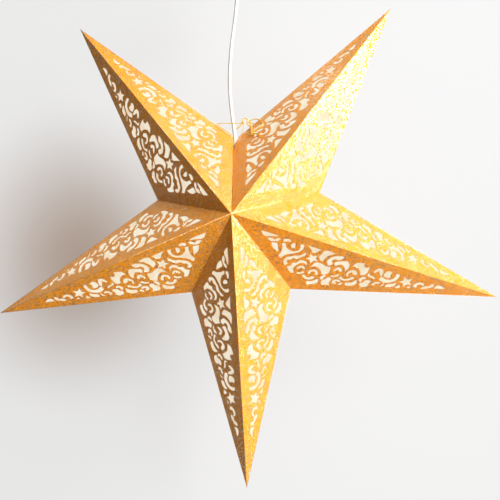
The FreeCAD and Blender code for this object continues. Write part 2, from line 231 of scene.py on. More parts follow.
@dataclass(frozen=True)
class Scrollwork:
    """The cut-outs of one face, drawn flat in millimetres.

    The ridge runs along X from the apex and the corner lies above it. Each shape is an
    outline of a few points; sharp turns stay sharp and the rest run as curves.

    Attributes:
        drawn_ridge: ridge length of the drawing.
        drawn_corner: corner height of the drawing.
        sharp_turn: a point that turns more than this stays sharp, in degrees.
        star_waist: a small star's inner corners as a share of its reach.
    """

    drawn_ridge: float = 324.3
    drawn_corner: float = 81.3
    sharp_turn: float = 88.0
    star_waist: float = 0.48

    def heart(self) -> list[Outline]:
        """The leaves and the arch nearest the apex."""
        return [
            ((38.5, 10), (45, 16), (52, 13.8), (59.5, 11.5), (59, 10.3)),
            ((48.5, 17.5), (52.5, 20.5), (58, 19.5), (63, 15), (62.5, 12.8), (59, 14),
             (57, 17), (54, 15.8), (50.5, 16.3)),
            ((54.8, 22), (58, 28), (64, 31.5), (67, 31.8), (64, 26), (61.3, 20.8),
             (57.5, 21.5)),
            ((72.8, 40.5), (69, 38), (69.8, 32.5), (69.5, 27.5), (68.5, 23), (66.3, 18.5),
             (68, 17.8), (70.5, 18), (72.5, 22), (76.5, 24.5), (80.5, 25.5), (84.5, 24.5),
             (87.5, 21.5), (88.3, 18), (87.5, 14.5), (86.3, 12.5), (90.5, 11.5),
             (91.8, 17), (90.5, 21), (87, 26), (84, 28), (80.5, 30.5), (76.5, 33.5),
             (74, 37)),
            ((66.5, 13.5), (69, 16), (71, 14.5), (75.5, 13.5), (74, 11), (69, 10.8)),
            ((79.3, 21), (82.3, 20.8), (81.5, 15.5), (80.3, 13.5), (77.3, 15)),
        ]

    def corner_group(self) -> list[Outline]:
        """The scrolls that fill the corner between two points."""
        return [
            ((79, 47), (82.5, 46.5), (82.8, 45), (80.5, 42.5), (81, 40), (84.5, 38),
             (86, 34.5), (90.5, 34.5), (94, 30), (97.5, 26), (96.3, 21), (94, 25),
             (90.5, 29), (86.5, 30.5), (82.5, 33.5), (78.5, 36.5), (76.8, 40.5),
             (77, 44.5)),
            ((91.5, 57.3), (94.5, 55.5), (91.5, 51.5), (91.5, 47.5), (93.5, 42.5),
             (97, 38.5), (100.5, 37.5), (104, 40.3), (102, 34.7), (93.5, 35.5),
             (91.5, 40.5), (88, 41.5), (87, 46.5), (83, 49.5), (87.5, 55)),
            ((97.3, 55), (100, 55.5), (103.5, 53.5), (105.3, 50.5), (103.5, 49.3),
             (101.5, 52), (97.5, 53.5)),
            ((96, 49.3), (97.5, 48), (100, 44.8), (102.8, 46.5), (104.5, 45.5),
             (102, 42.5), (99, 42), (95.5, 45.5), (94.8, 48)),
            ((104.3, 56.5), (108.5, 59.3), (112.5, 59.8), (116.5, 58), (119.5, 54),
             (115.5, 52.5), (113.5, 55.5), (110, 56.5), (106, 54)),
            ((113.5, 66), (120, 64.8), (124, 62), (124.5, 55.5), (122.5, 55), (120, 58),
             (116.5, 61), (112.5, 61.8)),
            ((110, 51.3), (112, 50.5), (112, 47.5), (115, 44.8), (117.5, 47),
             (118, 50), (120.5, 48.5), (120, 45), (116, 41.5), (111.5, 43.5),
             (109.3, 46.5)),
            ((108.8, 40.5), (112, 38), (116, 37.3), (120, 39.5), (123, 42.5),
             (125.5, 45.8), (130, 43.5), (132, 40), (131, 34), (130.5, 31), (125, 32.3),
             (118, 30), (111.5, 32), (110, 36)),
        ]

    def middle_group(self) -> list[Outline]:
        """The stems and leaves round the large star."""
        return [
            ((95, 10.5), (100, 14.5), (106, 18.8), (109, 15), (111.5, 11)),
            ((113, 22.5), (119, 27), (120, 21), (122.5, 16), (129, 10.3), (116, 10.5),
             (114, 16)),
            ((125, 27.5), (127.5, 29.8), (130, 28), (131, 25.5), (128.5, 22.5),
             (129.5, 19.5), (132, 17.8), (136, 17.8), (140, 11.3), (137.5, 10.8),
             (132, 12.5), (127.5, 15.5), (124.5, 20), (123.5, 25)),
            ((134.5, 28), (137.5, 25), (141, 23), (144.5, 25), (148.3, 29.8),
             (149.8, 27), (146, 16), (140.5, 17.5), (136.5, 19.5), (132.5, 22.5)),
            ((130, 60), (132.5, 60.5), (139.5, 58), (137.3, 54), (138.3, 48.5),
             (134, 46.8), (131.5, 51), (128.3, 55)),
            ((126, 53.3), (129, 53.8), (129, 49), (131, 47), (129, 45), (126, 48),
             (125, 50.5)),
            ((140.5, 52.5), (143, 54), (146, 53.5), (145.5, 51.5), (143.5, 51),
             (144.5, 49.3), (148.5, 48.5), (148.5, 46.8), (144, 46.5), (140.5, 49.5)),
            ((149, 54.3), (152.5, 50.5), (152, 48.5), (150.5, 49), (148.5, 52.5)),
            ((135, 43), (136.5, 44.8), (140, 44), (143, 42), (145, 38), (141.5, 39),
             (139, 42)),
            ((135.8, 37), (137.5, 35), (140, 31.5), (143, 34), (144.8, 32.5),
             (142, 28.5), (139, 28), (136.5, 31), (135.3, 35)),
        ]

    def far_group(self) -> list[Outline]:
        """The second scroll, past the corner."""
        return [
            ((145, 43.5), (150, 45), (155, 44), (159.5, 40.5), (162.5, 36.5),
             (159.5, 35.8), (157, 38.5), (154, 41.5), (150.5, 42.5), (147, 39.5)),
            ((155.8, 50.5), (160.5, 50.5), (165, 48), (167.3, 44), (165.5, 38),
             (163.5, 41.5), (160, 45), (155.5, 47.3)),
            ((152.5, 37), (154.5, 37.5), (153.5, 33), (156, 29), (159.5, 32),
             (162.5, 31), (161.5, 27.5), (158, 25), (153.5, 27.5), (151, 32)),
            ((153, 21), (155, 20), (160, 20.5), (164, 24), (166.5, 29.5), (171, 27.5),
             (172.5, 22), (171.5, 13.5), (169.5, 16), (166, 16), (164.5, 10.8),
             (156.5, 13.5), (154.5, 16)),
            ((173, 45.5), (181, 42.5), (180.5, 38.5), (182, 34.5), (180, 32.8),
             (174.5, 36), (173.5, 39.5), (170.5, 40.5)),
            ((169, 38.5), (172, 39), (171.5, 35), (174.5, 32.5), (174.5, 30.5),
             (171.5, 30.5), (169, 33), (167.8, 36)),
            ((184, 39), (188.5, 39), (187.5, 36), (192.5, 33), (192, 31.5), (188, 32),
             (185, 35)),
            ((193, 38), (195.5, 36.5), (197.3, 32), (196.8, 30.3), (195, 34.5)),
            ((174.5, 27), (180, 28), (184, 29), (184, 27.5), (181, 25.5), (177, 25.5),
             (175, 22)),
            ((180, 21), (182, 18.5), (184.5, 15.5), (187, 20.5), (189.5, 23),
             (189.8, 18.5), (188, 13), (184.5, 11), (181, 13.5), (179, 18.5)),
        ]

    def tip_group(self) -> list[Outline]:
        """The arch and the tail towards the tip."""
        return [
            ((189, 26.5), (191.5, 28.5), (197, 29.5), (202.5, 27), (207, 22.5),
             (208.8, 16.5), (207.5, 11.5), (204, 11.5), (204.5, 16.5), (202.5, 21.5),
             (199, 23.5), (195, 24), (191, 22.5)),
            ((192, 20), (195, 21.5), (199.5, 20), (198.5, 16), (199.5, 12),
             (194, 11.3), (191.3, 16.5)),
            ((200, 35.5), (204, 34.5), (208, 32), (209.8, 28), (208.5, 24.5),
             (205.5, 28), (200.5, 31)),
            ((210.8, 31), (213, 31.8), (217, 30), (214, 25.8)),
            ((222.5, 27), (228.3, 25.8), (225, 24)),
            ((229.5, 22.5), (234, 22.5), (233.5, 18.5), (237, 16), (240, 17.5),
             (240.5, 15), (236, 13), (231.5, 15.5), (229.5, 19)),
            ((239, 20.5), (241, 21.5), (246.5, 18.5), (251, 13.5), (250, 10.5),
             (247.5, 11), (246, 15), (242, 16.5)),
            ((253.5, 16), (258, 14), (264, 12.5), (262.5, 10.5), (254, 10.5)),
        ]

    def stars(self) -> list[Outline]:
        """The two small five-point stars, each from its middle, reach and lean."""
        drawn = []
        for across, up, reach, lean in ((106.5, 27, 7.8, 4), (219.3, 19, 8.2, 2)):
            corners = []
            for step in range(2 * POINTS):
                length = reach * (self.star_waist if step % 2 else 1)
                angle = math.radians(lean + 180 / POINTS * step)
                corners.append((across + length * math.sin(angle),
                                up + length * math.cos(angle)))
            drawn.append(tuple(corners))
        return drawn

    def curved(self) -> list[Outline]:
        """Every outline that runs as curves."""
        return (self.heart() + self.corner_group() + self.middle_group()
                + self.far_group() + self.tip_group())


@dataclass
class PaperPoint:
    """One folded, pierced sheet of card: four faces and the glue flaps inside.

    Attributes:
        layout: where the folds lie.
        scrolls: the cut-outs.
        card: thickness of the card.
        flap: width of a glue flap.
        loose_edge: where the open seam's loose edge bows out, in millimetres on the flat
            face, from the corner down.
        plain_spot: a spot of the flat map that lies away from the ridge.
    """

    layout: StarLayout
    scrolls: Scrollwork
    card: float = 0.4 * MM
    flap: float = 8 * MM
    loose_edge: Outline = (
        (95.5, 80.7), (88.5, 77.4), (80.5, 72.0), (70.4, 63.2), (46.9, 41.6), (28.2, 24.5),
    )
    plain_spot: tuple[float, float] = (0.1, 0.1)

    def add_outline(self, curve: bpy.types.Curve, outline: list[Vector],
                    turned: Corner, resolution: int) -> None:
        """Add one closed outline to a flat curve.

        Args:
            curve: the curve's data.
            outline: its points.
            turned: whether gentle turns run as curves.
            resolution: steps from one point to the next on a curve.
        """
        spline = curve.splines.new("BEZIER")
        spline.bezier_points.add(len(outline) - 1)
        spline.use_cyclic_u = True
        spline.resolution_u = resolution
        limit = math.radians(self.scrolls.sharp_turn)
        for place, point in enumerate(spline.bezier_points):
            here = outline[place]
            before = outline[place - 1]
            after = outline[(place + 1) % len(outline)]
            point.co = here
            turn = (here - before).angle(after - here)
            sharp = turned is Corner.SHARP or turn > limit
            kind = "VECTOR" if sharp else "AUTO"
            point.handle_left_type = kind
            point.handle_right_type = kind

    def edge(self, side: Side, number: int) -> list[Vector]:
        """The outside edge of a face, laid flat.

        Args:
            side: which face.
            number: the point's number round the star.

        Returns:
            The apex, the tip and the corner, and the loose bow of the open seam's edge on
            the one face that shows it.
        """
        tip, corner = self.layout.flat_face()
        outline = [Vector((0, 0, 0)), tip, corner]
        if number == 1 and side is Side.FRONT_LEFT:
            outline += [Vector((x * MM, y * MM, 0)) for x, y in self.loose_edge]
        return outline

    def face(self, side: Side, number: int) -> bpy.types.Object:
        """Cut one face from card, with its thickness inward and its own flat map.

        Args:
            side: which face.
            number: the point's number round the star.

        Returns:
            The face as a mesh in the flat drawing's axes.
        """
        piece = curve_object(f"face_{side.name.lower()}", flat=True)
        curve = piece.data
        curve.extrude = self.card / 2
        tip, corner = self.layout.flat_face()
        across = tip.x / self.scrolls.drawn_ridge
        up = corner.y / self.scrolls.drawn_corner
        self.add_outline(curve, self.edge(side, number), Corner.SHARP, 1)
        for outline in self.scrolls.curved():
            points = [Vector((x * across, y * up, 0)) for x, y in outline]
            self.add_outline(curve, points, Corner.BY_ANGLE, 3)
        for outline in self.scrolls.stars():
            points = [Vector((x * across, y * up, 0)) for x, y in outline]
            self.add_outline(curve, points, Corner.SHARP, 1)
        piece = to_mesh(piece)
        outward(piece)
        self.map_flat(piece)
        piece.data.transform(Matrix.Translation((0, 0, self.card / 2)))
        return piece

    def map_flat(self, piece: bpy.types.Object) -> None:
        """Write where each spot lies on the flat face into the UV map "flat".

        It holds the distance along the ridge and from it, as shares of the ridge's length.

        Args:
            piece: the face, still flat.
        """
        tip, _ = self.layout.flat_face()
        mesh = piece.data
        for layer in list(mesh.uv_layers):
            mesh.uv_layers.remove(layer)
        flat = mesh.uv_layers.new(name="flat")
        for loop in mesh.loops:
            place = mesh.vertices[loop.vertex_index].co
            flat.data[loop.index].uv = (place.x / tip.x, place.y / tip.x)

    def flaps(self) -> bpy.types.Object:
        """The glue flaps along the valley folds, turned into the upright point."""
        layout = self.layout
        mesh = bpy.data.meshes.new("flaps")
        shape = bmesh.new()
        for across in (1, -1):
            for depth in (1, -1):
                apex = Vector((0, -layout.half_depth * depth, 0))
                corner = layout.around(layout.corner_radius, across * layout.pitch / 2)
                slope = (corner - apex).length
                trim = layout.half_depth - self.flap * slope / layout.corner_radius
                reach = layout.corner_radius - self.flap * slope / layout.half_depth
                inner_apex = Vector((0, -trim * depth, 0))
                inner_corner = layout.around(reach, across * layout.pitch / 2)
                off = Vector((-across * self.card / 2, 0, 0))
                corners = [shape.verts.new(place + off)
                           for place in (apex, corner, inner_corner, inner_apex)]
                shape.faces.new(corners)
        shape.to_mesh(mesh)
        shape.free()
        piece = bpy.data.objects.new("flaps", mesh)
        bpy.context.collection.objects.link(piece)
        activate(piece)
        wall = piece.modifiers.new("card", "SOLIDIFY")
        wall.thickness = self.card
        wall.offset = 0
        bpy.ops.object.modifier_apply(modifier=wall.name)
        for spot in mesh.uv_layers.new(name="flat").data:
            spot.uv = self.plain_spot
        return piece

    def build(self, number: int, finish: bpy.types.Material) -> bpy.types.Object:
        """Fold one point and set it in the star.

        Args:
            number: the point's number, clockwise from the open seam.
            finish: the card's material.

        Returns:
            The finished card sheet.
        """
        parts = []
        for side in Side:
            face = self.face(side, number)
            face.data.transform(self.layout.side_matrix(side) @ self.layout.face_axes())
            outward(face)
            parts.append(face)
        parts.append(self.flaps())
        piece = join(parts, f"card_point_{number}")
        piece.data.transform(self.layout.point_matrix(number))
        piece.data.materials.clear()
        piece.data.materials.append(finish)
        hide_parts(f"paper_point_{number}")
        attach(piece, "root")
        return piece


# Finishes


@dataclass(frozen=True)
class Wire:
    """A short way to add and link shader nodes in one tree."""

    tree: bpy.types.NodeTree

    def node(self, kind: str, **settings: object) -> bpy.types.Node:
        """Add a node.

        Args:
            kind: the node's type name.
            settings: properties to set on it.

        Returns:
            The node.
        """
        made = self.tree.nodes.new(kind)
        for name, value in settings.items():
            setattr(made, name, value)
        return made

    def link(self, source: bpy.types.NodeSocket, target: bpy.types.NodeSocket) -> None:
        """Link two sockets."""
        self.tree.links.new(source, target)

    def maths(self, operation: str, first: object, second: object) -> bpy.types.NodeSocket:
        """A maths node.

        Args:
            operation: its operation.
            first: a socket or a number.
            second: a socket or a number.

        Returns:
            The result's socket.
        """
        made = self.node("ShaderNodeMath", operation=operation)
        for socket, value in zip(made.inputs, (first, second)):
            if isinstance(value, bpy.types.NodeSocket):
                self.link(value, socket)
            else:
                socket.default_value = value
        return made.outputs[0]

    def blend(self, share: object, low: object, high: object) -> bpy.types.NodeSocket:
        """Blend two colours.

        Args:
            share: a socket or a number from 0 to 1.
            low: a socket or a colour where the share is 0.
            high: a socket or a colour where the share is 1.

        Returns:
            The blended colour's socket.
        """
        made = self.node("ShaderNodeMix", data_type="RGBA")
        for socket, value in zip((made.inputs[0], made.inputs[6], made.inputs[7]),
                                 (share, low, high)):
            if isinstance(value, bpy.types.NodeSocket):
                self.link(value, socket)
            else:
                socket.default_value = value
        return made.outputs[2]

    def spread(self, value: bpy.types.NodeSocket, low: float, high: float,
               to_low: float = 0.0, to_high: float = 1.0) -> bpy.types.NodeSocket:
        """Spread a value's range onto another one.

        Args:
            value: the value.
            low: its lowest.
            high: its highest.
            to_low: what the lowest becomes.
            to_high: what the highest becomes.

        Returns:
            The spread value, kept inside its new range.
        """
        made = self.node("ShaderNodeMapRange")
        self.link(value, made.inputs[0])
        for socket, number in zip(made.inputs[1:5], (low, high, to_low, to_high)):
            socket.default_value = number
        return made.outputs[0]


@dataclass(frozen=True)
class Effects:
    """Surface effects that several finishes share, each a node group."""

    def group(self, name: str, inputs: dict[str, float],
              outputs: dict[str, str]) -> tuple[bpy.types.NodeTree, Wire, object, object]:
        """Start a node group.

        Args:
            name: its name.
            inputs: its number inputs and what they start at, besides Place.
            outputs: its outputs and their kinds.

        Returns:
            The tree, its wire, and its input and output nodes.
        """
        tree = bpy.data.node_groups.new(name, "ShaderNodeTree")
        tree.interface.new_socket("Place", in_out="INPUT", socket_type="NodeSocketVector")
        for label, value in inputs.items():
            socket = tree.interface.new_socket(label, in_out="INPUT",
                                               socket_type="NodeSocketFloat")
            socket.default_value = value
        for label, kind in outputs.items():
            tree.interface.new_socket(label, in_out="OUTPUT", socket_type=kind)
        wire = Wire(tree)
        return tree, wire, wire.node("NodeGroupInput"), wire.node("NodeGroupOutput")

    def flakes(self) -> bpy.types.NodeTree:
        """Fine flakes: each gets its own shade and its own tilt."""
        existing = bpy.data.node_groups.get("flakes")
        if existing:
            return existing
        tree, wire, start, end = self.group(
            "flakes", {"Size": 1200.0, "Tilt": 0.3},
            {"Shade": "NodeSocketFloat", "Normal": "NodeSocketVector"})
        cells = wire.node("ShaderNodeTexVoronoi", feature="F1")
        wire.link(start.outputs["Place"], cells.inputs["Vector"])
        wire.link(start.outputs["Size"], cells.inputs["Scale"])
        parts = wire.node("ShaderNodeSeparateColor")
        wire.link(cells.outputs["Color"], parts.inputs[0])
        bump = wire.node("ShaderNodeBump")
        bump.inputs["Distance"].default_value = 0.0004
        wire.link(start.outputs["Tilt"], bump.inputs["Strength"])
        wire.link(parts.outputs[1], bump.inputs["Height"])
        wire.link(parts.outputs[0], end.inputs["Shade"])
        wire.link(bump.outputs[0], end.inputs["Normal"])
        return tree

    def mottle(self) -> bpy.types.NodeTree:
        """Soft cloudy variation and a fine tooth."""
        existing = bpy.data.node_groups.get("mottle")
        if existing:
            return existing
        tree, wire, start, end = self.group(
            "mottle", {"Size": 40.0, "Tooth": 900.0, "Depth": 0.1},
            {"Cloud": "NodeSocketFloat", "Grain": "NodeSocketFloat",
             "Normal": "NodeSocketVector"})
        cloud = wire.node("ShaderNodeTexNoise")
        cloud.inputs["Detail"].default_value = 3
        wire.link(start.outputs["Place"], cloud.inputs["Vector"])
        wire.link(start.outputs["Size"], cloud.inputs["Scale"])
        grain = wire.node("ShaderNodeTexNoise")
        grain.inputs["Detail"].default_value = 4
        wire.link(start.outputs["Place"], grain.inputs["Vector"])
        wire.link(start.outputs["Tooth"], grain.inputs["Scale"])
        bump = wire.node("ShaderNodeBump")
        bump.inputs["Distance"].default_value = 0.0003
        wire.link(start.outputs["Depth"], bump.inputs["Strength"])
        wire.link(grain.outputs[0], bump.inputs["Height"])
        wire.link(cloud.outputs[0], end.inputs["Cloud"])
        wire.link(grain.outputs[0], end.inputs["Grain"])
        wire.link(bump.outputs[0], end.inputs["Normal"])
        return tree


@dataclass(frozen=True)
class Finish:
    """What every finish shares: a material with one Principled shader."""

    name: str = "finish"

    def start(self) -> tuple[bpy.types.Material, Wire, bpy.types.Node, bpy.types.Node]:
        """Make the material.

        Returns:
            The material, its wire, its Principled shader and its coordinates.
        """
        material = bpy.data.materials.new(self.name)
        material.use_nodes = True
        wire = Wire(material.node_tree)
        shader = material.node_tree.nodes["Principled BSDF"]
        place = wire.node("ShaderNodeTexCoord")
        return material, wire, shader, place

    def effect(self, wire: Wire, tree: bpy.types.NodeTree, place: bpy.types.NodeSocket,
               **values: float) -> bpy.types.Node:
        """Place a shared effect in the material.

        Args:
            wire: the material's wire.
            tree: the effect's group.
            place: coordinates that it reads.
            values: its number inputs.

        Returns:
            The group node.
        """
        made = wire.node("ShaderNodeGroup", node_tree=tree)
        wire.link(place, made.inputs["Place"])
        for label, value in values.items():
            made.inputs[label].default_value = value
        return made


@dataclass(frozen=True)
class GlitterCard(Finish):
    """Gold card with a fine glitter face, paler where it is folded.

    Attributes:
        deep: the darker card between the flakes.
        bright: the lighter card between the flakes.
        flake: the flakes that shine.
        sheen: the tint of the card's own gloss.
        crease: the card's colour at the ridge.
        fold_width: how far the crease reaches, as a share of the ridge.
        fold_depth: how strong the crease is.
        fold_radius: how round the folds and the cut edges look.
        flake_size: how many flakes lie on a metre.
        flake_tilt: how much they tilt.
        shining: the flakes' shades from which they start to shine and shine in full.
        roughness: from the dullest flake to the smoothest one.
        cloud_depth: how strong the soft cloudy variation is.
    """

    name: str = "gold_glitter_card"
    deep: Colour = (0.68, 0.19, 0.0005, 1)
    bright: Colour = (0.90, 0.38, 0.003, 1)
    flake: Colour = (1.0, 0.87, 0.64, 1)
    sheen: Colour = (1.0, 0.78, 0.42, 1)
    crease: Colour = (0.95, 0.42, 0.02, 1)
    fold_width: float = 0.003
    fold_depth: float = 0.6
    fold_radius: float = 0.9 * MM
    flake_size: float = 1300.0
    flake_tilt: float = 0.3
    shining: tuple[float, float] = (0.68, 0.76)
    roughness: tuple[float, float] = (0.42, 0.22)
    cloud_depth: float = 0.25

    def build(self) -> bpy.types.Material:
        """Make the card's material."""
        material, wire, shader, place = self.start()
        effects = Effects()
        flakes = self.effect(wire, effects.flakes(), place.outputs["Object"],
                             Size=self.flake_size, Tilt=self.flake_tilt)
        mottle = self.effect(wire, effects.mottle(), place.outputs["Object"],
                             Size=45.0, Tooth=600.0, Depth=0.1)
        shade = wire.spread(flakes.outputs["Shade"], 0.15, 0.95)
        colour = wire.blend(shade, self.deep, self.bright)
        cloud = wire.spread(mottle.outputs["Cloud"], 0.3, 0.7, 0.0, self.cloud_depth)
        colour = wire.blend(cloud, colour, self.bright)
        flat = wire.node("ShaderNodeUVMap", uv_map="flat")
        split = wire.node("ShaderNodeSeparateXYZ")
        wire.link(flat.outputs[0], split.inputs[0])
        fold = wire.spread(split.outputs[1], 0.0, self.fold_width, self.fold_depth, 0.0)
        colour = wire.blend(fold, colour, self.crease)
        metal = wire.spread(flakes.outputs["Shade"], *self.shining, 0.0, 0.95)
        colour = wire.blend(metal, colour, self.flake)
        wire.link(metal, shader.inputs["Metallic"])
        wire.link(colour, shader.inputs["Base Color"])
        rough = wire.spread(flakes.outputs["Shade"], 0.0, 1.0, *self.roughness)
        wire.link(rough, shader.inputs["Roughness"])
        wire.link(self.rounded(wire, flakes.outputs["Normal"]), shader.inputs["Normal"])
        shader.inputs["Specular IOR Level"].default_value = 0.3
        shader.inputs["Specular Tint"].default_value = self.sheen
        return material

    def rounded(self, wire: Wire, normal: bpy.types.NodeSocket) -> bpy.types.NodeSocket:
        """Round the folds and the cut edges off in a normal.

        Args:
            wire: the material's wire.
            normal: the surface's normal with its flakes.

        Returns:
            The normal with the folds rounded.
        """
        bend = wire.node("ShaderNodeBevel")
        bend.inputs["Radius"].default_value = self.fold_radius
        flat = wire.node("ShaderNodeNewGeometry")
        lean = wire.node("ShaderNodeVectorMath", operation="SUBTRACT")
        wire.link(bend.outputs[0], lean.inputs[0])
        wire.link(flat.outputs["Normal"], lean.inputs[1])
        both = wire.node("ShaderNodeVectorMath", operation="ADD")
        wire.link(normal, both.inputs[0])
        wire.link(lean.outputs[0], both.inputs[1])
        unit = wire.node("ShaderNodeVectorMath", operation="NORMALIZE")
        wire.link(both.outputs[0], unit.inputs[0])
        return unit.outputs[0]


@dataclass(frozen=True)
class LiningPaper(Finish):
    """White translucent paper with a painted glow: its emission stands in for light coming
    through it from inside the star.

    Attributes:
        paper: what the paper gives back of the light on it, kept low since the painted glow
            carries its brightness.
        shaded: the same, in its fibres.
        lit: the painted glow's colour where the paper is thin.
        dim: the painted glow's colour where it is thick.
        glow: how strong the painted glow is.
    """

    name: str = "white_lining_paper"
    paper: Colour = (0.07, 0.055, 0.025, 1)
    shaded: Colour = (0.05, 0.04, 0.02, 1)
    lit: Colour = (1.0, 0.91, 0.74, 1)
    dim: Colour = (0.92, 0.76, 0.54, 1)
    glow: float = 0.86

    def build(self) -> bpy.types.Material:
        """Make the lining's material."""
        material, wire, shader, place = self.start()
        mottle = self.effect(wire, Effects().mottle(), place.outputs["Object"],
                             Size=60.0, Tooth=700.0, Depth=0.12)
        cloud = wire.spread(mottle.outputs["Cloud"], 0.35, 0.6)
        grain = wire.spread(mottle.outputs["Grain"], 0.3, 0.7, 0.0, 0.5)
        wire.link(wire.blend(grain, self.paper, self.shaded), shader.inputs["Base Color"])
        # painted glow: emission stands in for light shining through the paper
        wire.link(wire.blend(cloud, self.dim, self.lit), shader.inputs["Emission Color"])
        wire.link(mottle.outputs["Normal"], shader.inputs["Normal"])
        shader.inputs["Emission Strength"].default_value = self.glow
        shader.inputs["Roughness"].default_value = 0.7
        return material


@dataclass(frozen=True)
class Moulded(Finish):
    """Moulded plastic or plain metal with a slight tooth and a gloss of its own.

    Attributes:
        body: its colour.
        worn: its colour where it is handled.
        gloss: its roughness where it is smoothest.
        metallic: 1 where it is metal.
    """

    name: str = "white_moulded_plastic"
    body: Colour = (0.86, 0.86, 0.84, 1)
    worn: Colour = (0.76, 0.75, 0.72, 1)
    gloss: float = 0.32
    metallic: float = 0.0

    def build(self) -> bpy.types.Material:
        """Make the plastic's or the plain metal's material."""
        material, wire, shader, place = self.start()
        mottle = self.effect(wire, Effects().mottle(), place.outputs["Object"],
                             Size=55.0, Tooth=1500.0, Depth=0.08)
        cloud = wire.spread(mottle.outputs["Cloud"], 0.35, 0.65)
        wire.link(wire.blend(cloud, self.body, self.worn), shader.inputs["Base Color"])
        rough = wire.spread(mottle.outputs["Grain"], 0.3, 0.7, self.gloss,
                            self.gloss + 0.15)
        wire.link(rough, shader.inputs["Roughness"])
        wire.link(mottle.outputs["Normal"], shader.inputs["Normal"])
        shader.inputs["Metallic"].default_value = self.metallic
        return material


@dataclass(frozen=True)
class Frosted(Finish):
    """The lamp's frosted glass."""

    name: str = "frosted_glass"
    body: Colour = (0.95, 0.93, 0.88, 1)

    def build(self) -> bpy.types.Material:
        """Make the glass's material."""
        material, wire, shader, place = self.start()
        mottle = self.effect(wire, Effects().mottle(), place.outputs["Object"],
                             Size=90.0, Tooth=2500.0, Depth=0.1)
        rough = wire.spread(mottle.outputs["Grain"], 0.3, 0.7, 0.45, 0.6)
        wire.link(rough, shader.inputs["Roughness"])
        wire.link(mottle.outputs["Normal"], shader.inputs["Normal"])
        shader.inputs["Base Color"].default_value = self.body
        shader.inputs["Transmission Weight"].default_value = 0.6
        return material


@dataclass(frozen=True)
class Twine(Finish):
    """Thin gold twine with its twist.

    Attributes:
        dark: between its turns.
        light: on its turns.
        turns: how close its turns lie.
    """

    name: str = "gold_twine"
    dark: Colour = (0.50, 0.24, 0.01, 1)
    light: Colour = (0.92, 0.66, 0.04, 1)
    turns: float = 420.0

    def build(self) -> bpy.types.Material:
        """Make the twine's material."""
        material, wire, shader, place = self.start()
        twist = wire.node("ShaderNodeTexWave", wave_type="BANDS", bands_direction="DIAGONAL")
        twist.inputs["Scale"].default_value = self.turns
        twist.inputs["Distortion"].default_value = 1.0
        wire.link(place.outputs["Object"], twist.inputs["Vector"])
        flakes = self.effect(wire, Effects().flakes(), place.outputs["Object"],
                             Size=2500.0, Tilt=0.3)
        share = wire.maths("MULTIPLY", twist.outputs["Fac"], flakes.outputs["Shade"])
        share = wire.spread(share, 0.0, 0.6)
        wire.link(wire.blend(share, self.dark, self.light), shader.inputs["Base Color"])
        bump = wire.node("ShaderNodeBump")
        bump.inputs["Distance"].default_value = 0.0002
        bump.inputs["Strength"].default_value = 0.4
        wire.link(twist.outputs["Fac"], bump.inputs["Height"])
        wire.link(bump.outputs[0], shader.inputs["Normal"])
        shader.inputs["Roughness"].default_value = 0.4
        shader.inputs["Metallic"].default_value = 0.1
        return material


# Cord and ties


@dataclass
class LampCord:
    """The white lamp cord, from the ceiling cup to the holder inside the star.

    Attributes:
        centre: the star's middle, which the route is measured from.
        diameter: the cord's thickness.
        length: its real length.
        route: across and up from the star's middle, in metres.
    """

    centre: Vector
    diameter: float = 4 * MM
    length: float = 0.241
    route: tuple[tuple[float, float], ...] = (
        (0.0070, 0.3060),
        (0.0070, 0.2800),
        (0.0034, 0.2520),
        (-0.0032, 0.2120),
        (-0.0066, 0.1720),
        (-0.0050, 0.1360),
        (-0.0006, 0.0970),
        (0.0, 0.0660),
    )

    def build(self, finish: bpy.types.Material) -> bpy.types.Object:
        """Lay the cord along its route.

        Args:
            finish: the cord's material.

        Returns:
            The cord as a curve.
        """
        piece = curve_object("white_lamp_cord", flat=False)
        curve = piece.data
        curve.bevel_depth = self.diameter / 2
        curve.bevel_resolution = 6
        curve.use_fill_caps = True
        spline = curve.splines.new("NURBS")
        spline.points.add(len(self.route) - 1)
        for point, (across, height) in zip(spline.points, self.route):
            place = self.centre + Vector((across, 0, height))
            point.co = (*place, 1)
        spline.order_u = 3
        spline.use_endpoint_u = True
        spline.resolution_u = 16
        curve.materials.append(finish)
        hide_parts("lamp_cord")
        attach(piece, "root")
        return piece


@dataclass(frozen=True)
class Strand:
    """One run of string.

    Attributes:
        points: its route in millimetres from the star's middle.
        weight: its thickness against the plain string's.
        closed: whether it runs round into itself.
    """

    points: tuple[Place, ...]
    weight: float = 1.0
    closed: bool = False


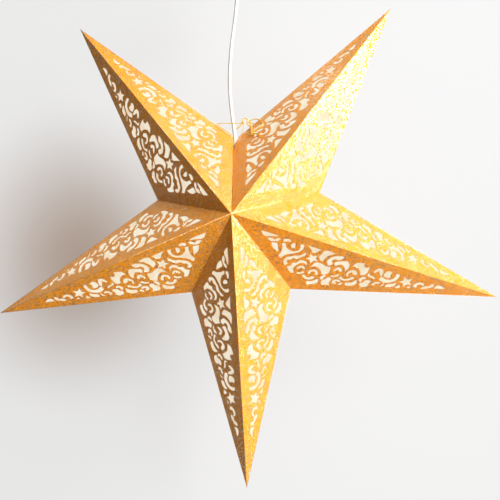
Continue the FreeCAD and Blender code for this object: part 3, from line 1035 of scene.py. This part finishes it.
@dataclass(frozen=True)
class SeamTie:
    """The gold string that closes the open seam, and its bow.

    Attributes:
        centre: the star's middle.
        radius: the string's radius.
    """

    centre: Vector
    radius: float = 0.6 * MM

    def across(self) -> list[Strand]:
        """The taut string past the cord and the slack end beside it."""
        return [
            Strand(((-22.0, 0.5, 118.4), (-23.1, -2.6, 119.8), (-13.8, -3.5, 119.7),
                    (-2.2, -3.6, 119.0), (5.0, -3.5, 118.9), (8.3, -3.5, 118.8)), 0.8),
            Strand(((-23.1, -3.2, 119.5), (-18.4, -3.4, 115.0), (-10.9, -3.5, 109.3),
                    (-6.0, -3.2, 106.2), (-4.6, -1.2, 104.6)), 1.0),
        ]

    def bow(self) -> list[Strand]:
        """Two knots, a small and a large loop, and the loose ends."""
        return [
            Strand(((9.6, -3.9, 118.9), (8.2, -3.9, 122.6), (12.3, -3.7, 125.2),
                    (16.4, -3.6, 122.0), (13.4, -3.9, 118.0), (17.5, -4.3, 114.4),
                    (19.8, -6.6, 110.4)), 1.25),
            Strand(((9.4, -3.9, 118.8), (6.1, -4.2, 114.9), (1.8, -3.9, 111.8)), 1.5),
            Strand(((10.3, -3.6, 117.6), (10.4, -3.6, 111.4), (5.9, -2.6, 104.0)), 0.6),
            Strand(((17.7, -3.6, 121.0), (18.9, -4.6, 115.9), (20.0, -7.4, 109.4),
                    (20.0, -12.6, 102.4)), 1.5),
            Strand(((17.7, -3.6, 121.0), (24.8, -3.9, 123.6), (31.2, -5.8, 120.4),
                    (34.6, -11.4, 114.4), (30.4, -12.8, 110.2), (24.8, -11.6, 107.9),
                    (20.4, -12.8, 102.8)), 1.15),
            Strand(((20.4, -12.8, 102.5), (24.6, -14.9, 103.6), (30.4, -21.6, 99.4)), 1.2),
            Strand(((14.6, -3.8, 119.6), (21.0, -4.6, 117.6), (27.6, -9.6, 113.6)), 0.9),
            *self.knot((9.6, -3.9, 118.9), 1.1),
            *self.knot((20.2, -12.8, 102.6), 1.2),
        ]

    def knot(self, middle: Place, reach: float) -> list[Strand]:
        """Two turns of string about each other.

        Args:
            middle: the knot's middle.
            reach: the turns' radius in millimetres.

        Returns:
            The turns, as closed strands.
        """
        turns = []
        corners = 6
        for tilt in (0.5, -0.9):
            points = []
            for step in range(corners):
                angle = math.tau * step / corners
                points.append((middle[0] + reach * math.cos(angle),
                               middle[1] + reach * math.sin(angle) * math.sin(tilt),
                               middle[2] + reach * math.sin(angle) * math.cos(tilt)))
            turns.append(Strand(tuple(points), 1.2, True))
        return turns

    def lay(self, name: str, replaced: str, strands: list[Strand],
            finish: bpy.types.Material) -> bpy.types.Object:
        """Run string along its strands.

        Args:
            name: the piece's name.
            replaced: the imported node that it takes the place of.
            strands: its runs.
            finish: the string's material.

        Returns:
            The piece as a mesh.
        """
        piece = curve_object(name, flat=False)
        curve = piece.data
        curve.bevel_depth = self.radius
        curve.bevel_resolution = 2
        curve.use_fill_caps = True
        for strand in strands:
            spline = curve.splines.new("NURBS")
            spline.points.add(len(strand.points) - 1)
            for point, place in zip(spline.points, strand.points):
                point.co = (*(self.centre + Vector(place) * MM), 1)
                point.radius = strand.weight
            spline.order_u = 3
            spline.use_cyclic_u = strand.closed
            spline.use_endpoint_u = not strand.closed
            spline.resolution_u = 8
        piece = to_mesh(piece)
        piece.data.materials.append(finish)
        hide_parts(replaced)
        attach(piece, "root")
        return piece

    def build(self, finish: bpy.types.Material) -> None:
        """Tie the seam.

        Args:
            finish: the string's material.
        """
        for name, replaced, strands in (
                ("seam_string", "tie_string", self.across()),
                ("seam_bow", "tie_bow", self.bow())):
            piece = self.lay(name, replaced, strands, finish)
            LOG.info("%s: %d faces", piece.name, len(piece.data.polygons))


# Studio


@dataclass(frozen=True)
class SoftLight:
    """One soft box.

    Attributes:
        name: what it does.
        place: where it stands, from the star's middle, which it points at.
        width: its side.
        power: its power in watts.
        tint: its colour.
    """

    name: str
    place: Place
    width: float
    power: float
    tint: tuple[float, float, float] = (1, 1, 1)

    def build(self, centre: Vector) -> None:
        """Stand the light in the studio.

        Args:
            centre: the star's middle.
        """
        deselect()
        bpy.ops.object.light_add(type="AREA", location=centre + Vector(self.place))
        lamp = bpy.context.view_layer.objects.active
        lamp.name = self.name
        lamp.data.energy = self.power
        lamp.data.color = self.tint
        lamp.data.size = self.width
        towards = -Vector(self.place)
        lamp.rotation_euler = towards.to_track_quat("-Z", "Y").to_euler()


@dataclass
class Studio:
    """The wall behind the star, the lights and the camera.

    Attributes:
        layout: the star's layout.
        wall_gap: from the star's back apex to the wall.
        wall_size: the wall's side against the star's tip radius.
        yaw: how far the camera is turned to the left, in degrees.
        tilt: how far it looks up, in degrees.
        roll: how far it leans, in degrees.
        stand: the camera's place from the star's middle.
        lens: focal length on a 36 mm wide sensor.
        plaster: the wall's two tones, which light the star.
        wall_seen: the wall's colour as it is seen or mirrored.
        wall_right_painted_shade: the same at the right of the view, darker there as painted
            shade that holds back the stronger light on that side.
        painted_shade_begins: where that painted shade begins and is reached in full, from
            the wall's middle.
        wall_lift: how much paler than its lighting the wall is seen.
        shade: the colour of the painted shadow at the left of the wall, a soft warm patch
            that deepens the star's real shadow there.
        painted_shadow_place: its middle across and up from the star's middle.
        painted_shadow_reach: its half width and half height.
        lights: the soft boxes, which do all the lighting.
    """

    layout: StarLayout
    wall_gap: float = 0.12
    wall_size: float = 8
    yaw: float = 5.196
    tilt: float = 4.392
    roll: float = -1.819
    stand: Place = (0.0976, -0.9345, -0.1076)
    lens: float = 56.43
    plaster: tuple[Colour, Colour] = ((0.82, 0.82, 0.82, 1), (0.84, 0.84, 0.84, 1))
    wall_seen: Colour = (0.16, 0.16, 0.16, 1)
    wall_right_painted_shade: Colour = (0.118, 0.118, 0.118, 1)
    painted_shade_begins: tuple[float, float] = (-0.1, 0.4)
    wall_lift: float = 0.63
    shade: Colour = (0.50, 0.38, 0.31, 1)
    painted_shadow_place: tuple[float, float] = (-0.27, -0.015)
    painted_shadow_reach: tuple[float, float] = (0.22, 0.25)
    lights: tuple[SoftLight, ...] = (
        SoftLight("key", (1.1, -1.1, 0.30), 1.0, 44.0),
        SoftLight("high", (1.05, -1.05, 0.75), 0.8, 16.0),
        SoftLight("foot", (0.7, -0.8, -1.2), 0.9, 14.0),
        SoftLight("top", (0.8, -0.6, 1.1), 0.8, 8.0),
        SoftLight("glint", (1.5, -0.15, 0.0), 0.4, 5.0),
        SoftLight("fill", (-1.2, -1.1, -0.1), 1.0, 2.2, (1, 0.78, 0.4)),
    )

    def wall(self) -> None:
        """A pale wall close behind the star."""
        deselect()
        middle = self.layout.centre
        depth = middle.y + self.layout.half_depth + self.wall_gap
        bpy.ops.mesh.primitive_plane_add(
            size=self.layout.tip_radius * self.wall_size,
            location=(middle.x, depth, middle.z), rotation=(math.pi / 2, 0, 0))
        plane = bpy.context.view_layer.objects.active
        plane.name = "wall"
        bpy.ops.object.transform_apply(location=False, rotation=True, scale=True)
        plane.data.materials.append(self.wall_finish())

    def wall_finish(self) -> bpy.types.Material:
        """Make the wall's material: plaster, paler where it is seen or mirrored, with
        painted shade towards the right and a painted shadow at the left.
        """
        material, wire, shader, coordinates = Finish("pale_wall").start()
        place = coordinates.outputs["Object"]
        noise = wire.node("ShaderNodeTexNoise")
        noise.inputs["Scale"].default_value = 3.0
        wire.link(place, noise.inputs["Vector"])
        plaster = wire.blend(wire.spread(noise.outputs[0], 0.3, 0.7), *self.plaster)
        path = wire.node("ShaderNodeLightPath")
        mirrored = wire.maths("MAXIMUM", path.outputs["Is Glossy Ray"],
                              path.outputs["Is Transmission Ray"])
        seen = wire.maths("MAXIMUM", path.outputs["Is Camera Ray"], mirrored)
        split = wire.node("ShaderNodeSeparateXYZ")
        wire.link(place, split.inputs[0])
        # painted shade: the wall is seen darker towards the right, where the key light falls
        # strongest
        across = wire.spread(split.outputs[0], *self.painted_shade_begins)
        pale = wire.blend(across, self.wall_seen, self.wall_right_painted_shade)
        wire.link(wire.blend(seen, plaster, pale), shader.inputs["Base Color"])
        lift = wire.spread(seen, 0.0, 1.0, 0.0, self.wall_lift)
        wire.link(lift, shader.inputs["Emission Strength"])
        # painted shadow: a soft warm patch tints the wall's seen glow where the star's
        # shadow falls
        painted_shadow_tone = wire.blend(self.shaded(wire, place), (1, 1, 1, 1), self.shade)
        wire.link(painted_shadow_tone, shader.inputs["Emission Color"])
        shader.inputs["Roughness"].default_value = 0.9
        shader.inputs["Specular IOR Level"].default_value = 0.0
        return material

    def shaded(self, wire: Wire, place: bpy.types.NodeSocket) -> bpy.types.NodeSocket:
        """How deep the painted shadow on the wall is, a soft patch round its middle.

        Args:
            wire: the wall material's wire.
            place: the place on the wall.

        Returns:
            The share of painted shadow, 0 to 1.
        """
        shift = wire.node("ShaderNodeMapping", vector_type="TEXTURE")
        across, up = self.painted_shadow_place
        shift.inputs["Location"].default_value = (across, 0, up)
        across, up = self.painted_shadow_reach
        shift.inputs["Scale"].default_value = (across, 1, up)
        wire.link(place, shift.inputs["Vector"])
        away = wire.node("ShaderNodeVectorMath", operation="LENGTH")
        wire.link(shift.outputs[0], away.inputs[0])
        ease = wire.node("ShaderNodeMapRange", interpolation_type="SMOOTHSTEP")
        wire.link(away.outputs["Value"], ease.inputs["Value"])
        for socket, value in zip(("From Min", "From Max", "To Min", "To Max"), (0, 1, 1, 0)):
            ease.inputs[socket].default_value = value
        return ease.outputs[0]

    def camera(self) -> None:
        """Stand the camera where the photograph was taken from."""
        yaw, tilt, roll = (math.radians(angle) for angle in (self.yaw, self.tilt, self.roll))
        forward = Vector((-math.sin(yaw) * math.cos(tilt), math.cos(yaw) * math.cos(tilt),
                          math.sin(tilt)))
        level = Vector((math.cos(yaw), math.sin(yaw), 0))
        above = level.cross(forward)
        right = level * math.cos(roll) + above * math.sin(roll)
        up = above * math.cos(roll) - level * math.sin(roll)
        deselect()
        bpy.ops.object.camera_add()
        camera = bpy.context.view_layer.objects.active
        camera.data.lens = self.lens
        axes = Matrix((right, up, -forward)).transposed().to_4x4()
        camera.matrix_world = Matrix.Translation(
            self.layout.centre + Vector(self.stand)) @ axes
        bpy.context.scene.camera = camera

    def world(self) -> None:
        """Nothing shines from all round: the soft boxes do all the lighting."""
        world = bpy.data.worlds.new("studio")
        world.use_nodes = True
        world.node_tree.nodes["Background"].inputs["Strength"].default_value = 0.0
        bpy.context.scene.world = world

    def build(self) -> None:
        """Set the whole studio up."""
        self.wall()
        for light in self.lights:
            light.build(self.layout.centre)
        self.world()
        self.camera()
        bpy.context.scene.view_settings.view_transform = "Standard"


# The whole lantern


def dress(names: list[str], finish: bpy.types.Material) -> None:
    """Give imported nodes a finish.

    Args:
        names: the nodes.
        finish: their material.
    """
    for name in names:
        node = bpy.data.objects[name]
        node.data.materials.clear()
        node.data.materials.append(finish)
        LOG.info("%s: %s", name, finish.name)


def main() -> None:
    """Build the lantern piece by piece."""
    logging.basicConfig(level=logging.INFO, format="%(message)s")
    layout = StarLayout.from_frame()
    card = GlitterCard().build()
    point = PaperPoint(layout, Scrollwork())
    for number in range(1, POINTS + 1):
        piece = point.build(number, card)
        LOG.info("%s: %d faces", piece.name, len(piece.data.polygons))
    linings = [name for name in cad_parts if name.startswith("lining_")]
    dress(linings, LiningPaper().build())
    plastic = Moulded().build()
    dress(["holder_cap", "holder_body", "ceiling_cup", "cord_grip"], plastic)
    metal = Moulded("plain_metal", body=(0.62, 0.62, 0.63, 1), worn=(0.45, 0.45, 0.46, 1),
                    gloss=0.3, metallic=1.0)
    dress(["bulb_cap", "ceiling_plate"], metal.build())
    dress(["bulb_glass"], Frosted().build())
    SeamTie(layout.centre).build(Twine().build())
    sheath = Moulded("white_cord_sheath", body=(0.66, 0.65, 0.64, 1),
                     worn=(0.54, 0.52, 0.50, 1), gloss=0.38)
    cord = LampCord(layout.centre)
    line = cord.build(sheath.build())
    Studio(layout).build()
    LOG.info("studio ready")


if __name__ == "__main__":
    main()
